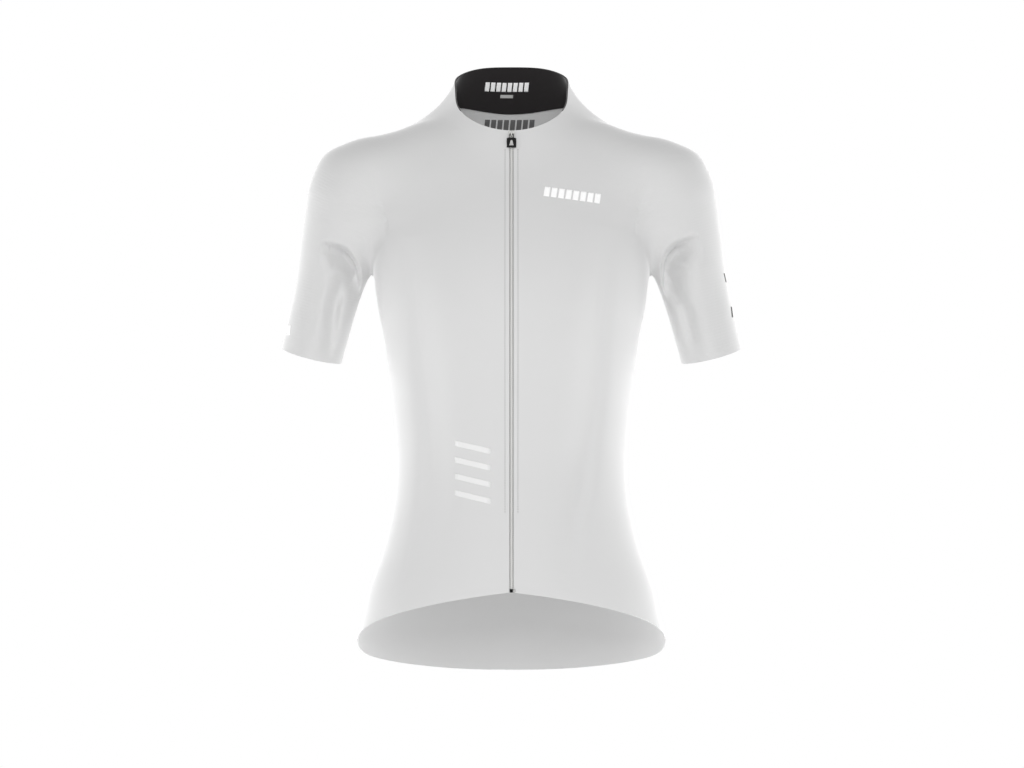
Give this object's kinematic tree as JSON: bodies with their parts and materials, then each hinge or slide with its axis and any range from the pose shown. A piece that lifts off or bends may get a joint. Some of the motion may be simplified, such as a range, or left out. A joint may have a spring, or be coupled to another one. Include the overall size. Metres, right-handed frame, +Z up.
{
  "type": "short-sleeved cycling jersey",
  "caption": "Fitted short-sleeved cycling jersey in pale grey knit, worn shape with no wearer: raglan sleeves, low stand collar, full-length front zip, dropped back hem and back pockets.",
  "frame": {"origin": "middle of the neck base, level with the tops of the shoulders that hold the garment up", "axes": "+X towards the wearer's left, -Y towards the front, +Z up"},
  "size_m": [0.5092, 0.2385, 0.6816],
  "materials": {
    "shell_knit": "pale grey stretch warp knit, matt with a faint sheen",
    "ribbed_knit": "pale grey knit with fine raised crosswise ribs",
    "black_lining": "black brushed knit",
    "zip_tape": "grey woven tape",
    "zip_chain": "grey moulded teeth",
    "bright_metal": "bright silver plated die casting",
    "black_plastic": "satin black"
  },
  "bodies": {
    "body": {"front_right": "shell_knit", "front_left": "shell_knit", "back": "shell_knit", "back_pockets": "shell_knit", "sleeve_right": "ribbed_knit", "sleeve_left": "ribbed_knit", "collar": "shell_knit", "collar_lining": "black_lining", "zip_tape_right": "zip_tape", "zip_tape_left": "zip_tape", "zip_chain": "zip_chain", "zip_slider": "bright_metal", "zip_box": "black_plastic", "zip_end_stop": "bright_metal"},
    "pull_tab": {"pull_tab": "black_plastic"}
  },
  "joints": [
    {"name": "pull_tab_hinge", "type": "hinge", "parent": "body", "child": "pull_tab", "pos_m": [0, -0.06806, -0.01935], "axis": [-1, 0, 0], "range_deg": [0, 170]}
  ]
}
